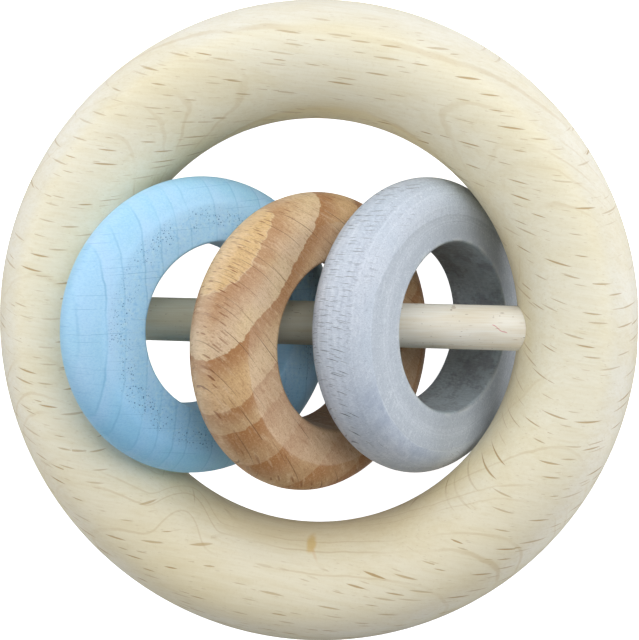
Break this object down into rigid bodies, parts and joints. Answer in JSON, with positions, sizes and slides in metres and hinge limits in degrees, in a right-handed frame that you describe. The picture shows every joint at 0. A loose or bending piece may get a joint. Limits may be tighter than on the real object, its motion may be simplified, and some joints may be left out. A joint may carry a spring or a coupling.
{
  "type": "baby rattle",
  "caption": "Wooden ring rattle: a round-section beech grip ring with a dowel across its opening and smaller loose wooden rings that tip to and fro on the dowel.",
  "frame": {"origin": "centre of the grip ring, on its axis and on the dowel's axis", "axes": "+X along the dowel, towards the grey ring; +Z along the grip ring's axis, up from the surface the rattle lies on, and towards the side the small rings' upper edges lean over; +Y completes the right-handed frame"},
  "size_m": [0.085, 0.085, 0.0348],
  "materials": {
    "natural_beech": "fine-sanded bare beech, satin, with short brown ray flecks",
    "dowel_beech": "fine-sanded bare beech dowel, matt",
    "blue_stained_wood": "light sky-blue water stain, the grain showing through, satin",
    "brown_oiled_wood": "brown oiled wood with darker figure patches, satin",
    "grey_washed_wood": "bluish grey wash with fine dark pores, worn lighter at the hole's edge, matt"
  },
  "bodies": {
    "grip": {"grip_ring": "natural_beech", "crossbar": "dowel_beech"},
    "blue": {"blue_ring": "blue_stained_wood"},
    "brown": {"brown_ring": "brown_oiled_wood"},
    "grey": {"grey_ring": "grey_washed_wood"}
  },
  "joints": [
    {"name": "brown_ring_tip", "type": "hinge", "parent": "grip", "child": "brown", "pos_m": [0.0013, 0, 0], "axis": [0, 1, 0], "range_deg": [0, 80]},
    {"name": "blue_ring_tip", "type": "hinge", "parent": "grip", "child": "blue", "pos_m": [-0.013, 0, 0], "axis": [0, 1, 0], "range_deg": [0, 90]},
    {"name": "grey_ring_tip", "type": "hinge", "parent": "grip", "child": "grey", "pos_m": [0.0139, 0, 0], "axis": [0, 1, 0], "range_deg": [0, 80]}
  ],
  "couplings": [
    {"joint": "blue_ring_tip", "follows": "brown_ring_tip", "ratio": 1.125},
    {"joint": "grey_ring_tip", "follows": "brown_ring_tip", "ratio": 1}
  ]
}
